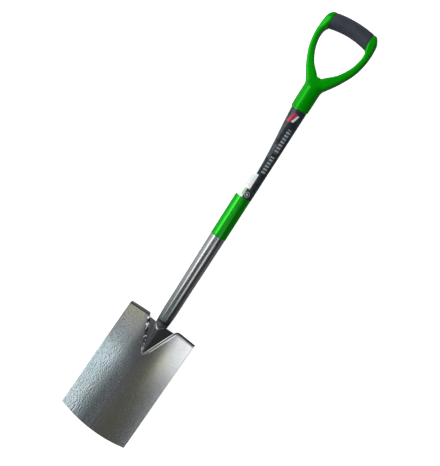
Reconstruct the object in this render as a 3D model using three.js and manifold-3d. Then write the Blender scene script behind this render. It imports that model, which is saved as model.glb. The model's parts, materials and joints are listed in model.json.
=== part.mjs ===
// A digging spade: a pressed steel blade on a tubular steel shaft with a plastic D-grip.
// Millimetres. It is drawn upright: Z up the shaft, X across the blade, the dished working face
// towards -Y, and heights counted from the line where the treads fold back. The finished spade
// is then laid on its back, resting on treads and grip: Y runs along the shaft from blade to
// grip, the working face looks up, and the origin is the middle of the bounding box's base.
import * as THREE from "three";
import { mergeVertices } from "three/addons/utils/BufferGeometryUtils.js";
import Module from "manifold-3d";

const wasm = await Module();
wasm.setup();

const deg = Math.PI / 180;

// ---- driving dimensions -------------------------------------------------------------------

// pressed blade: the sheet leans forward by lift, its side edges stand forward by dish
const blade = {
  width: 172,
  length: 277,
  edgeBow: 13.2,
  edgeThickness: 0.9,
  dish: 9.4,
  thickness: 2,
  lift: 10.8 * deg,
  setBack: 6.1,
};

// the V-shaped ridge pressed out of the top middle of the blade, open at the back
const frog = {
  halfWidth: 32.4,
  height: 20.9,
  length: 76.5,
  topDrop: 2,
  notchDepth: 15,
  notchHalfWidth: 15,
  noseRoundness: 0.22,
};

// the two foot treads folded back from the top edge
const tread = {
  bendRadius: 4,
  depth: 13.5,
  innerEndAtFold: 33.5,
  innerEndAtRim: 39.5,
};

// tubular shaft, swaged towards the blade and pressed into the frog at its foot
const tube = {
  radius: 17.45,
  radiusAboveFrog: 16.4,
  taperFrom: 225,
  taperTo: 60,
  wall: 1.5,
  footZ: -52,
  topZ: 597,
};

const sleeve = { innerRadius: 17.6, outerRadius: 18, bottomZ: 233.5, topZ: 595 };
const label = { innerRadius: 18.15, outerRadius: 18.4, bottomZ: 334, topZ: 548.5 };

// plastic handle: a socket over the sleeve, then a D leaning back above the pivot height
const socket = {
  boreRadius: 18.3,
  lipRadius: 19.2,
  radius: 19.95,
  bottomZ: 550,
  boreTopZ: 599,
  flareHeight: 12,
};
const grip = {
  leanBack: 8.4 * deg,
  pivotZ: 593,
  barHeight: 748,
  barBow: 5.2,
  barEndX: 45.5,
  coreHalfHeight: 13.6,
  coreHalfDepth: 12.6,
  coverHalfHeight: 17.8,
  coverFlare: 0.8,
  coverHalfDepth: 16.4,
  crotchHeight: 625.6,
};

const rivet = { z: 576, shankRadius: 2.4, headRadius: 5, headHeight: 2.2, tailRadius: 3.6 };
const weld = { radius: 1.5 };

const fit = 0.3;
const around = 40;

// ---- general shapes -----------------------------------------------------------------------

function geometryFrom(points, triangles) {
  const geometry = new THREE.BufferGeometry();
  const positions = points.flatMap((p) => [p.x, p.y, p.z]);
  geometry.setAttribute("position", new THREE.Float32BufferAttribute(positions, 3));
  geometry.setIndex(triangles.flat());
  return geometry;
}

// joins a list of equal closed rings, each seen anticlockwise from the far end, and caps both ends
function loft(rings) {
  const count = rings[0].length;
  const points = rings.flat();
  const triangles = [];
  for (let r = 0; r + 1 < rings.length; r++) {
    for (let i = 0; i < count; i++) {
      const a = r * count + i;
      const b = r * count + ((i + 1) % count);
      triangles.push([a, b, b + count], [a, b + count, a + count]);
    }
  }
  capRing(points, triangles, 0, count, false);
  capRing(points, triangles, (rings.length - 1) * count, count, true);
  return geometryFrom(points, triangles);
}

function capRing(points, triangles, first, count, facesForward) {
  const centre = new THREE.Vector3();
  for (let i = 0; i < count; i++) {
    centre.add(points[first + i]);
  }
  points.push(centre.divideScalar(count));
  const middle = points.length - 1;
  for (let i = 0; i < count; i++) {
    const a = first + i;
    const b = first + ((i + 1) % count);
    triangles.push(facesForward ? [a, b, middle] : [b, a, middle]);
  }
}

// a ring in the horizontal plane z, from a function of the angle measured from the front
function levelRing(z, outline) {
  const ring = [];
  for (let i = 0; i < around; i++) {
    const [x, y] = outline((i / around) * 2 * Math.PI);
    ring.push(new THREE.Vector3(x, y, z));
  }
  return ring;
}

const circle = (radius) => (angle) => [radius * Math.sin(angle), -radius * Math.cos(angle)];

function toSolid(geometry) {
  const bare = new THREE.BufferGeometry();
  bare.setAttribute("position", geometry.getAttribute("position").clone());
  if (geometry.index) {
    bare.setIndex(geometry.index.clone());
  }
  const merged = mergeVertices(bare, 1e-4);
  return new wasm.Manifold(new wasm.Mesh({
    numProp: 3,
    vertProperties: new Float32Array(merged.attributes.position.array),
    triVerts: new Uint32Array(merged.index.array),
  }));
}

function toGeometry(solid) {
  const mesh = solid.getMesh();
  const geometry = new THREE.BufferGeometry();
  geometry.setAttribute("position", new THREE.BufferAttribute(mesh.vertProperties, 3));
  geometry.setIndex(new THREE.BufferAttribute(mesh.triVerts, 1));
  return geometry;
}

// a straight hollow cylinder along Z
function collar(innerRadius, outerRadius, bottomZ, topZ) {
  const outer = toSolid(loft([levelRing(bottomZ, circle(outerRadius)), levelRing(topZ, circle(outerRadius))]));
  const inner = toSolid(loft([
    levelRing(bottomZ - 5, circle(innerRadius)),
    levelRing(topZ + 5, circle(innerRadius)),
  ]));
  return outer.subtract(inner);
}

// a round bead along a curve, thinning to its ends
function bead(path, radius) {
  const curve = new THREE.CatmullRomCurve3(path);
  const steps = 14;
  const sides = 10;
  const rings = [];
  for (let s = 0; s <= steps; s++) {
    const share = s / steps;
    const centre = curve.getPoint(share);
    const forward = curve.getTangent(share);
    const side = new THREE.Vector3(0, 1, 0).cross(forward).normalize();
    const up = forward.clone().cross(side);
    const size = radius * (0.55 + 0.45 * Math.sin(Math.PI * share)) * (1 + 0.06 * Math.cos(s * 3));
    const ring = [];
    for (let i = 0; i < sides; i++) {
      const angle = (i / sides) * 2 * Math.PI;
      ring.push(centre.clone()
        .addScaledVector(side, size * Math.cos(angle))
        .addScaledVector(up, size * Math.sin(angle)));
    }
    rings.push(ring);
  }
  return loft(rings);
}

// ---- blade --------------------------------------------------------------------------------

// a point of the blade's front: x across, drop down the sheet, rise towards the front
function bladePoint(x, drop, rise) {
  const y = blade.setBack - drop * Math.sin(blade.lift) - rise * Math.cos(blade.lift);
  const z = -drop * Math.cos(blade.lift) + rise * Math.sin(blade.lift);
  return new THREE.Vector3(x, y, z);
}

const arcRise = (x, halfWidth, sagitta) => {
  const radius = (halfWidth * halfWidth + sagitta * sagitta) / (2 * sagitta);
  return radius - Math.sqrt(radius * radius - x * x);
};
const dishRise = (x) => arcRise(x, blade.width / 2, blade.dish);
const bladeEndDrop = (x) => blade.length - arcRise(x, blade.width / 2, blade.edgeBow);
const frogShare = (drop) => THREE.MathUtils.clamp(1 - (drop - frog.topDrop) / frog.length, 0, 1);

// height of the frog above the plain dish: a V with a rounded nose
function frogRise(x, drop) {
  const share = frogShare(drop);
  const across = share > 0 ? Math.abs(x) / (frog.halfWidth * share) : 1;
  if (across >= 1) {
    return 0;
  }
  const k = frog.noseRoundness;
  const full = Math.hypot(1, k);
  return (frog.height * share * (full - Math.hypot(across, k))) / (full - k);
}

// the frog's upper edge has a notch round the tube: how far it moves the edge, and the rows
// below it, down the sheet at x
function frogNotch(x, nominal) {
  const share = frogShare(nominal);
  if (share === 0) {
    return 0;
  }
  const across = Math.hypot(x / (frog.notchHalfWidth * share), 0.12);
  return frog.notchDepth * share * Math.max(1 - across, 0);
}

// front corners of the sheet, in columns across and rows down; the tread rows come first
const frogColumns = 8;
const sideColumns = 5;
const columns = 2 * (frogColumns + sideColumns);
const bendSteps = 4;

function columnX(column, innerX) {
  const offset = column - columns / 2;
  const steps = Math.abs(offset);
  const sign = Math.sign(offset);
  if (steps <= frogColumns) {
    return (sign * innerX * steps) / frogColumns;
  }
  const share = (steps - frogColumns) / sideColumns;
  return sign * (innerX + share * (blade.width / 2 - innerX));
}

function bladeRows() {
  const rows = [];
  const frogEnd = frog.topDrop + frog.length;
  for (let i = 0; i <= 8; i++) {
    rows.push(frog.topDrop + (frog.length * i) / 8);
  }
  for (const share of [0.25, 0.5, 0.75, 0.97, 1]) {
    rows.push(frogEnd + share * (blade.length - frogEnd));
  }
  return rows.map((nominal) => {
    const innerX = Math.max(frog.halfWidth * frogShare(nominal), 5);
    const row = [];
    for (let c = 0; c <= columns; c++) {
      const x = columnX(c, innerX);
      const share = (nominal - frog.topDrop) / (blade.length - frog.topDrop);
      const drop = frog.topDrop + share * (bladeEndDrop(x) - frog.topDrop);
      const notch = frogNotch(x, nominal);
      row.push(bladePoint(x, drop + notch, dishRise(x) + frogRise(x, nominal + notch)));
    }
    return row;
  });
}

// the fold line is level although the sheet is dished, so that the tread is flat on top
function treadRows() {
  const turn = Math.PI / 2 - blade.lift;
  const rows = [];
  const rowAt = (share, place) => {
    const inner = THREE.MathUtils.lerp(tread.innerEndAtFold, tread.innerEndAtRim, share);
    const row = [];
    for (let c = 0; c <= columns; c++) {
      const x = columnX(c, inner);
      row.push(place(x, dishRise(x), dishRise(x) * Math.tan(blade.lift)));
    }
    rows.unshift(row);
  };
  for (let step = 0; step <= bendSteps; step++) {
    const angle = (turn * step) / bendSteps;
    const back = tread.bendRadius * (1 - Math.cos(angle));
    const up = tread.bendRadius * Math.sin(angle);
    rowAt((0.5 * step) / bendSteps, (x, rise, foldDrop) => bladePoint(x, foldDrop - up, rise - back));
  }
  const bendDepth = tread.bendRadius;
  rowAt(1, (x, rise, foldDrop) => {
    const up = tread.bendRadius * Math.sin(turn);
    const back = tread.bendRadius * (1 - Math.cos(turn));
    const end = bladePoint(x, foldDrop - up, rise - back);
    end.y += tread.depth - bendDepth;
    return end;
  });
  return rows;
}

function makeBlade() {
  const treads = treadRows();
  const rows = [...treads, ...bladeRows()];
  const innerFirst = columns / 2 - frogColumns;
  const innerLast = columns / 2 + frogColumns;
  const hasCell = (r, c) => {
    if (r < 0 || c < 0 || r + 1 >= rows.length || c >= columns) {
      return false;
    }
    return r >= treads.length || c < innerFirst || c >= innerLast;
  };
  const at = (r, c) => rows[r][c];
  const normals = rows.map((row) => row.map(() => new THREE.Vector3()));
  for (let r = 0; r + 1 < rows.length; r++) {
    for (let c = 0; c < columns; c++) {
      if (hasCell(r, c)) {
        const down = at(r + 1, c + 1).clone().sub(at(r, c));
        const over = at(r, c + 1).clone().sub(at(r + 1, c));
        const normal = down.cross(over).normalize();
        for (const [dr, dc] of [[0, 0], [0, 1], [1, 0], [1, 1]]) {
          normals[r + dr][c + dc].add(normal);
        }
      }
    }
  }
  const points = [];
  const index = new Map();
  const pointAt = (r, c, back) => {
    const key = `${r},${c},${back}`;
    if (!index.has(key)) {
      const thickness = r === rows.length - 1 ? blade.edgeThickness : blade.thickness;
      const normal = normals[r][c].clone().normalize();
      const point = at(r, c).clone();
      if (back) {
        point.addScaledVector(normal, -thickness);
      }
      index.set(key, points.push(point) - 1);
    }
    return index.get(key);
  };
  const triangles = [];
  const quad = (a, b, c, d) => triangles.push([a, b, c], [a, c, d]);
  for (let r = 0; r + 1 < rows.length; r++) {
    for (let c = 0; c < columns; c++) {
      if (!hasCell(r, c)) {
        continue;
      }
      const corner = (dr, dc, back) => pointAt(r + dr, c + dc, back);
      quad(corner(0, 0, false), corner(1, 0, false), corner(1, 1, false), corner(0, 1, false));
      quad(corner(0, 1, true), corner(1, 1, true), corner(1, 0, true), corner(0, 0, true));
      const wall = (r0, c0, r1, c1) => {
        quad(corner(r0, c0, false), corner(r1, c1, false), corner(r1, c1, true), corner(r0, c0, true));
      };
      if (!hasCell(r, c - 1)) wall(1, 0, 0, 0);
      if (!hasCell(r, c + 1)) wall(0, 1, 1, 1);
      if (!hasCell(r - 1, c)) wall(0, 0, 0, 1);
      if (!hasCell(r + 1, c)) wall(1, 1, 1, 0);
    }
  }
  return geometryFrom(points, triangles);
}

// y of the sheet's back at x and height z, with room for the slope of the frog's flanks
function hollowY(x, z) {
  let drop = -z / Math.cos(blade.lift);
  for (let i = 0; i < 4; i++) {
    const rise = dishRise(x) + frogRise(x, drop);
    drop = (-z + rise * Math.sin(blade.lift)) / Math.cos(blade.lift);
  }
  const inFrog = Math.abs(x) < frog.halfWidth * frogShare(drop) + 2;
  const rise = dishRise(x) + frogRise(x, Math.max(drop, frog.topDrop)) - (inFrog ? 2.7 : 2.1);
  return bladePoint(x, drop, rise).y;
}

// ---- shaft --------------------------------------------------------------------------------

function tubeRadiusAt(z) {
  const share = THREE.MathUtils.smoothstep(z, tube.taperTo, tube.taperFrom);
  return THREE.MathUtils.lerp(tube.radiusAboveFrog, tube.radius, share);
}

// half the tube's width; it closes in from just above the frog down to the foot
function tubeHalfWidth(z) {
  const open = THREE.MathUtils.clamp((z - tube.footZ) / (45 - tube.footZ), 0, 1);
  return tubeRadiusAt(z) * (0.5 + 0.5 * Math.sin((open * Math.PI) / 2) ** 1.15);
}

// the foot is also flattened from behind, and the frog's hollow shapes its front
function tubeOutline(z, inset) {
  const radius = tubeRadiusAt(z);
  const flat = THREE.MathUtils.smoothstep(z, tube.footZ, 10);
  const back = radius * THREE.MathUtils.lerp(0.55, 1, flat);
  const centreY = (back - radius) / 2;
  const halfDepth = (back + radius) / 2;
  const halfWidth = tubeHalfWidth(z);
  return (angle) => {
    const x = halfWidth * Math.sin(angle);
    let y = centreY - halfDepth * Math.cos(angle);
    if (z < 8) {
      y = Math.max(y, hollowY(x, z) + fit + 0.2);
    }
    const middleY = centreY + 2;
    const reach = Math.hypot(x, y - middleY);
    const share = 1 - inset / reach;
    return [x * share, middleY + (y - middleY) * share];
  };
}

function tubeSolid(inset, bottomZ, topZ) {
  const foot = [-42, -32, -22, -12, -5, 0, 5, 12, 24, 45];
  const heights = [bottomZ, ...foot, tube.taperTo, 105, 145, 185, tube.taperFrom, topZ];
  return toSolid(loft(heights.map((z) => levelRing(z, tubeOutline(z, inset)))));
}

function makeTube() {
  const inside = tubeSolid(tube.wall, tube.footZ + tube.wall, tube.topZ + 5);
  return tubeSolid(0, tube.footZ, tube.topZ).subtract(inside).subtract(rivetHole());
}

function weldAtFrogTop() {
  const path = [];
  for (let x = -12; x <= 12; x += 4) {
    const drop = frog.topDrop + frogNotch(x, frog.topDrop);
    const edge = bladePoint(x, drop, dishRise(x) + frogRise(x, drop) - 1.1);
    path.push(new THREE.Vector3(x, edge.y - 0.4, edge.z + 1.5 * weld.radius + fit));
  }
  return bead(path, weld.radius);
}

function weldBehindFrog(side) {
  const path = [];
  for (let z = -6; z >= -48; z -= 7) {
    const x = side * (tubeHalfWidth(z) + weld.radius + 0.5);
    const y = hollowY(x, z) + (weld.radius + fit) * 1.25;
    path.push(new THREE.Vector3(x, y, z));
  }
  return bead(path, weld.radius);
}

// ---- handle -------------------------------------------------------------------------------

// a point of the D: x across, height along its leaning plane, depth towards the back
function gripPoint(x, height, depth) {
  const along = height - grip.pivotZ;
  const y = along * Math.sin(grip.leanBack) + depth * Math.cos(grip.leanBack);
  const z = grip.pivotZ + along * Math.cos(grip.leanBack) - depth * Math.sin(grip.leanBack);
  return new THREE.Vector3(x, y, z);
}

const barRise = (x) => grip.barHeight - grip.barBow * (x / grip.barEndX) ** 2;
const coverEnd = grip.coverHalfHeight + grip.coverFlare;

// a rounded ring between an inner and an outer point of the D's outline
function armRing(inner, outer, halfDepth) {
  const ring = [];
  const sides = 20;
  for (let i = 0; i < sides; i++) {
    const angle = (i / sides) * 2 * Math.PI;
    const bulge = (value) => Math.sign(value) * Math.abs(value) ** 0.8;
    const across = 0.5 + 0.5 * bulge(Math.cos(angle));
    const depth = halfDepth * bulge(Math.sin(angle));
    const x = THREE.MathUtils.lerp(inner.x, outer.x, across);
    const height = THREE.MathUtils.lerp(inner.y, outer.y, across);
    ring.push(gripPoint(x, height, depth));
  }
  return ring;
}

// one side of the D from the neck round the top corner to the end of the bar
function armSolid(side) {
  const v = (x, height) => new THREE.Vector2(x, height);
  const outer = new THREE.SplineCurve([
    v(12, 592), v(24.5, 612), v(43, 639.5), v(57.2, 670), v(63.2, 698),
    v(64.2, 722), v(61.4, 748), v(54.5, 759), v(grip.barEndX, barRise(grip.barEndX) + coverEnd),
  ]);
  const inner = new THREE.SplineCurve([
    v(-6, 610), v(6, 627.4), v(27.5, 649.6), v(42.6, 675.5), v(49.1, 698.5),
    v(49.7, 712), v(48.4, 718.3), v(46.4, 721), v(grip.barEndX, barRise(grip.barEndX) - coverEnd),
  ]);
  const depths = [14, 13, 11.5, 11, 11.5, 13, 15.2, 16.2, grip.coverHalfDepth];
  const steps = 26;
  const rings = [];
  for (let s = 0; s <= steps; s++) {
    const share = s / steps;
    const place = share * (depths.length - 1);
    const before = Math.min(Math.floor(place), depths.length - 2);
    const halfDepth = THREE.MathUtils.lerp(depths[before], depths[before + 1], place - before);
    const ring = armRing(inner.getPoint(share), outer.getPoint(share), halfDepth);
    rings.push(ring);
  }
  if (side < 0) {
    const mirrored = rings.map((ring) => ring.map((p) => new THREE.Vector3(-p.x, p.y, p.z)).reverse());
    return toSolid(loft(mirrored));
  }
  return toSolid(loft(rings));
}

// an oval bar that follows the bow of the grip and grows taller towards its ends by flare
function barSolid(halfHeight, halfDepth, endX, flare = 0) {
  const rings = [];
  const steps = 10;
  for (let s = 0; s <= steps; s++) {
    const x = -endX + (2 * endX * s) / steps;
    const tall = halfHeight + flare * (x / grip.barEndX) ** 2;
    const ring = [];
    for (let i = 0; i < around; i++) {
      const angle = (i / around) * 2 * Math.PI;
      ring.push(gripPoint(x, barRise(x) + tall * Math.sin(angle), halfDepth * Math.cos(angle)));
    }
    rings.push(ring);
  }
  return toSolid(loft(rings));
}

function socketSolid() {
  const s = socket;
  const ring = (z, radius) => levelRing(z, circle(radius));
  const rings = [
    ring(s.bottomZ, s.lipRadius),
    ring(s.bottomZ + 1.5, s.lipRadius + 0.5),
    ring(s.bottomZ + 5, s.radius - 0.2),
    ring(s.bottomZ + s.flareHeight, s.radius),
    ring(594, s.radius),
  ];
  const neck = [[600, 20.2, 20.4], [607, 21, 17.6], [613, 21.5, 15.2], [619, 17, 13], [grip.crotchHeight, 6, 9]];
  for (const [height, halfWidth, halfDepth] of neck) {
    const lowered = [];
    for (let i = 0; i < around; i++) {
      const angle = (i / around) * 2 * Math.PI;
      lowered.push(gripPoint(halfWidth * Math.sin(angle), height, -halfDepth * Math.cos(angle)));
    }
    rings.push(lowered);
  }
  return toSolid(loft(rings));
}

function makeHandle() {
  const bore = toSolid(loft([
    levelRing(socket.bottomZ - 5, circle(socket.boreRadius)),
    levelRing(socket.boreTopZ, circle(socket.boreRadius)),
  ]));
  return socketSolid()
    .add(armSolid(1))
    .add(armSolid(-1))
    .add(barSolid(grip.coreHalfHeight, grip.coreHalfDepth, grip.barEndX + 2))
    .subtract(bore)
    .subtract(rivetHole());
}

function makeGripCover() {
  const end = grip.barEndX - fit;
  const outside = barSolid(grip.coverHalfHeight, grip.coverHalfDepth, end, grip.coverFlare);
  const inside = barSolid(grip.coreHalfHeight + fit, grip.coreHalfDepth + fit, end + 5);
  return outside.subtract(inside);
}

// ---- rivet --------------------------------------------------------------------------------

// clearance hole for the rivet's shank, on the back side only
function rivetHole() {
  const hole = new THREE.CylinderGeometry(rivet.shankRadius + fit, rivet.shankRadius + fit, 16, 24);
  hole.translate(0, 19, 0);
  hole.translate(0, 0, rivet.z);
  return toSolid(hole);
}

function makeRivet() {
  const seat = socket.radius + 0.15;
  const tail = tube.radius - tube.wall - 0.3;
  const profile = [
    [0, tail - 3], [rivet.tailRadius * 0.7, tail - 2.6], [rivet.tailRadius, tail - 1.2],
    [rivet.tailRadius * 0.8, tail], [rivet.shankRadius, tail], [rivet.shankRadius, seat],
    [rivet.headRadius, seat], [rivet.headRadius * 0.92, seat + 0.9],
    [rivet.headRadius * 0.55, seat + rivet.headHeight * 0.9], [0, seat + rivet.headHeight],
  ];
  const body = new THREE.LatheGeometry(profile.map(([r, y]) => new THREE.Vector2(r, y)), 20);
  body.translate(0, 0, rivet.z);
  return toSolid(body);
}

// ---- assembly -----------------------------------------------------------------------------

function material(color, roughness, metalness) {
  return new THREE.MeshStandardMaterial({ color, roughness, metalness });
}

const group = new THREE.Group();
group.name = "digging_spade";

function addPart(name, shape, look) {
  const geometry = shape instanceof THREE.BufferGeometry ? shape : toGeometry(shape);
  geometry.computeVertexNormals();
  const mesh = new THREE.Mesh(geometry, look);
  mesh.name = name;
  group.add(mesh);
}

addPart("blade", makeBlade(), material(0x9a9c98, 0.4, 0.9));
addPart("shaft_tube", makeTube(), material(0x9ba0a2, 0.3, 0.9));
addPart("weld_frog_top", weldAtFrogTop(), material(0xb9bab6, 0.35, 0.9));
addPart("weld_back_left", weldBehindFrog(-1), material(0x8a8b88, 0.5, 0.9));
addPart("weld_back_right", weldBehindFrog(1), material(0x8a8b88, 0.5, 0.9));
addPart(
  "shaft_sleeve",
  collar(sleeve.innerRadius, sleeve.outerRadius, sleeve.bottomZ, sleeve.topZ).subtract(rivetHole()),
  material(0x0a8a12, 0.35, 0),
);
addPart(
  "label_wrap",
  collar(label.innerRadius, label.outerRadius, label.bottomZ, label.topZ),
  material(0x263038, 0.4, 0),
);
addPart("handle_frame", makeHandle(), material(0x0a8f12, 0.3, 0));
addPart("grip_cover", makeGripCover(), material(0x4a4d55, 0.8, 0));
addPart("handle_rivet", makeRivet(), material(0xa9abad, 0.35, 0.9));

// ---- resting pose -------------------------------------------------------------------------

// how far down a part reaches once the upright spade is turned back by an angle
function depthWhenTurned(name, angle) {
  const positions = group.getObjectByName(name).geometry.getAttribute("position");
  let lowest = Infinity;
  for (let i = 0; i < positions.count; i++) {
    const z = positions.getY(i) * Math.sin(angle) + positions.getZ(i) * Math.cos(angle);
    lowest = Math.min(lowest, z);
  }
  return lowest;
}

// the angle at which the treads and the grip touch the floor together
function restingAngle() {
  let low = -100 * deg;
  let high = -80 * deg;
  for (let step = 0; step < 40; step++) {
    const middle = (low + high) / 2;
    if (depthWhenTurned("blade", middle) < depthWhenTurned("grip_cover", middle)) {
      high = middle;
    } else {
      low = middle;
    }
  }
  return (low + high) / 2;
}

const laidDown = new THREE.Matrix4().makeRotationX(restingAngle());
for (const mesh of group.children) {
  mesh.geometry.applyMatrix4(laidDown);
}
const bounds = new THREE.Box3().setFromObject(group);
const centre = bounds.getCenter(new THREE.Vector3());
for (const mesh of group.children) {
  mesh.geometry.translate(-centre.x, -centre.y, -bounds.min.z);
}

export default group;
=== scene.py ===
"""The looks of a digging spade that lies on its back on a pale studio floor.

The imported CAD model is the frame. Every visible part is built again here with finer meshes and
procedural materials. Pieces are drawn upright in millimetres, as the spade is held: x across the
blade, y towards the back, z up the shaft from the line where the treads fold. One matrix then
lays them down where the CAD model lies.
"""
import json
import math

import bpy
from mathutils import Matrix, Vector, noise


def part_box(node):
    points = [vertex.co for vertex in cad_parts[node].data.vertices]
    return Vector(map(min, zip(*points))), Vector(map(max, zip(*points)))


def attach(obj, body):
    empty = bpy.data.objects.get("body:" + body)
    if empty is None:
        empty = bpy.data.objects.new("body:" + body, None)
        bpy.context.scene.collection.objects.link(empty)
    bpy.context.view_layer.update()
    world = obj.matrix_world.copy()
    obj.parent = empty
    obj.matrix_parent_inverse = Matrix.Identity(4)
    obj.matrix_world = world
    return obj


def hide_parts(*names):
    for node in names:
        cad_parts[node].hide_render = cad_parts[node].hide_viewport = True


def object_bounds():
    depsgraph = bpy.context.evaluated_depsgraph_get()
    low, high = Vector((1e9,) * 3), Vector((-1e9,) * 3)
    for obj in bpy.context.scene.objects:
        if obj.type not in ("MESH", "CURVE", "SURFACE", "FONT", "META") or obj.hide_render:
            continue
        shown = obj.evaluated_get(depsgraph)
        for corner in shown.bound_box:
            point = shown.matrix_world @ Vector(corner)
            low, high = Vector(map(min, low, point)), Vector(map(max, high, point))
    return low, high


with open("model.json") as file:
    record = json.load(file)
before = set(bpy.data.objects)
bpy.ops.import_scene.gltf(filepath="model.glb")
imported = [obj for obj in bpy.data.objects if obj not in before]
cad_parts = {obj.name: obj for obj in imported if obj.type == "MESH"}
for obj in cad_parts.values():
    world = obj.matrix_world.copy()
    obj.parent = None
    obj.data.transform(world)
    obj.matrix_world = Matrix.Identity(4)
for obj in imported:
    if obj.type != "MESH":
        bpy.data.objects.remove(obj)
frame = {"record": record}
cad_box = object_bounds()

MM = 0.001

# ---- camera -------------------------------------------------------------------------------

CAMERA_PLACE = Vector((0.34661, 0.23804, 1.79292))
CAMERA_AIM = Vector((0.00696, 0.00046, 0.06186))
CAMERA_UP = Vector((-0.55491, 0.83189, -0.00529))
CAMERA_LENS = 65.61


def make_camera():
    data = bpy.data.cameras.new("camera")
    data.lens = CAMERA_LENS
    data.sensor_width = 36
    data.clip_start = 0.05
    data.clip_end = 60
    camera = bpy.data.objects.new("camera", data)
    back = (CAMERA_PLACE - CAMERA_AIM).normalized()
    right = CAMERA_UP.cross(back).normalized()
    up = back.cross(right)
    turn = Matrix((right, up, back)).transposed().to_4x4()
    camera.matrix_world = Matrix.Translation(CAMERA_PLACE) @ turn
    bpy.context.scene.collection.objects.link(camera)
    bpy.context.scene.camera = camera


make_camera()

# ---- sizes, in millimetres ----------------------------------------------------------------

# the blade: one pressed sheet, dished across. LIFT tilts it forward of the shaft, and SET_BACK puts
# the middle of its fold line behind the shaft's axis.
BLADE_WIDTH = 171.9
BLADE_LENGTH = 277
EDGE_BOW = 13.2
DISH = 9.38
SHEET = 2
EDGE_SHEET = 0.9
LIFT = math.radians(10.8)
SET_BACK = 6.1

# the frog: a V pressed up out of the sheet, with a notch round the tube in its upper edge. A nose
# says how round the tip of a V is, as a share of its half width.
FROG_HALF_WIDTH = 32.4
FROG_HEIGHT = 20.9
FROG_LENGTH = 76.5
FROG_DROP = 2
FROG_NOSE = 0.22
NOTCH_DEPTH = 15
NOTCH_HALF_WIDTH = 15
NOTCH_NOSE = 0.12

# the treads: the sheet's upper edge, folded back on both sides of the frog
TREAD_BEND = 4
TREAD_DEPTH = 13.49
TREAD_INNER_FOLD = 33.5
TREAD_INNER_RIM = 39.5

# the tube, and the sleeve and label on it
TUBE_RADIUS = 17.45
TUBE_RADIUS_LOW = 16.4
TUBE_WALL = 1.5
TUBE_FOOT = -52
TUBE_TOP = 597
TUBE_BACK_ROUND_ABOVE = 10
TUBE_ROUND_ABOVE = 45
TAPER_BOTTOM = 60
TAPER_TOP = 225
PRESSED_BELOW = 12
FULLY_PRESSED_BELOW = 5
SLEEVE_IN = 17.6
SLEEVE_OUT = 18
SLEEVE_BOTTOM = 233.5
SLEEVE_TOP = 595.0
LABEL_IN = 18.15
LABEL_OUT = 18.4
LABEL_BOTTOM = 334
LABEL_TOP = 548.5
WELD_RADIUS = 1.5
WELD_GAP = 0.3

# the handle: a socket on the tube, two arms and a bar in a plane that leans back from the pivot
SOCKET_BOTTOM = 550
SOCKET_LIP = 19.1
SOCKET_RADIUS = 19.9
SOCKET_BORE = 18.3
BORE_TOP = 599
LEAN = math.radians(8.4)
PIVOT = 593
BAR_HEIGHT = 748
BAR_BOW = 5.2
BAR_END = 45.5
CORE_HALF_HEIGHT = 13.6
CORE_HALF_DEPTH = 12.6
COVER_HALF_HEIGHT = 17.75
COVER_FLARE = 0.8
COVER_HALF_DEPTH = 16.35
COVER_END_GAP = 0.3

# the rivet
RIVET_Z = 576
RIVET_HEAD = 5
RIVET_SHANK = 2.4


def mix(a, b, share):
    """a for a share of 0, b for a share of 1."""
    return a + (b - a) * share


def smooth_step(value, low, high):
    """0 at low, 1 at high, with a smooth passage. low may be the larger number."""
    t = min(max((value - low) / (high - low), 0), 1)
    return t * t * (3 - 2 * t)


def bell(value, middle, width):
    """1 at the middle, falling off to both sides."""
    return math.exp(-(((value - middle) / width) ** 2))


def squared(value, power):
    """A sine or cosine drawn towards its ends, which makes a circle boxy, for a power under 1."""
    return math.copysign(abs(value) ** power, value)


# ---- where the upright drawing lies -------------------------------------------------------


def laid_down():
    """The turn about x and the shift that take the upright drawing, in metres, to the CAD model."""
    shaft = Vector(frame["record"]["mounts"][0]["axis"])
    angle = math.atan2(-shaft.y, shaft.z)
    low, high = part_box("shaft_sleeve")
    middle = Vector((0, 0, (SLEEVE_BOTTOM + SLEEVE_TOP) / 2 * MM))
    shift = (low + high) / 2 - Matrix.Rotation(angle, 3, "X") @ middle
    return angle, shift


LIE_ANGLE, LIE_SHIFT = laid_down()
LAID = Matrix.Translation(LIE_SHIFT) @ Matrix.Rotation(LIE_ANGLE, 4, "X")

# ---- meshes -------------------------------------------------------------------------------


def new_piece(name, points, faces, material, node):
    """A smooth mesh piece from upright points in millimetres, laid down onto its CAD node."""
    mesh = bpy.data.meshes.new(name)
    mesh.from_pydata([LAID @ (Vector(p) * MM) for p in points], [], faces)
    mesh.update()
    piece = bpy.data.objects.new(name, mesh)
    bpy.context.scene.collection.objects.link(piece)
    finish_surface(piece, material)
    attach(piece, "root")
    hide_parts(node)
    return piece


def finish_surface(piece, material):
    piece.data.materials.clear()
    piece.data.materials.append(material)
    for polygon in piece.data.polygons:
        polygon.use_smooth = True


def sharpen(piece, angle):
    piece.data.set_sharp_from_angle(angle=math.radians(angle))


def add_bevel(piece, width, angle):
    bevel = piece.modifiers.new("bevel", "BEVEL")
    bevel.width = width * MM
    bevel.segments = 3
    bevel.limit_method = "ANGLE"
    bevel.angle_limit = math.radians(angle)
    bevel.harden_normals = True


def loft(rings):
    """Points and faces of a closed body through equal rings, with a cap at each end."""
    count = len(rings[0])
    points = [p for ring in rings for p in ring]
    faces = []
    for r in range(len(rings) - 1):
        for i in range(count):
            j = (i + 1) % count
            faces.append((r * count + i, r * count + j, (r + 1) * count + j, (r + 1) * count + i))
    faces.append(tuple(range(count - 1, -1, -1)))
    last = (len(rings) - 1) * count
    faces.append(tuple(range(last, last + count)))
    return points, faces


def joined(shapes):
    """One list of points and faces from several."""
    points, faces = [], []
    for some_points, some_faces in shapes:
        start = len(points)
        points += some_points
        faces += [tuple(start + i for i in face) for face in some_faces]
    return points, faces


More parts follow.
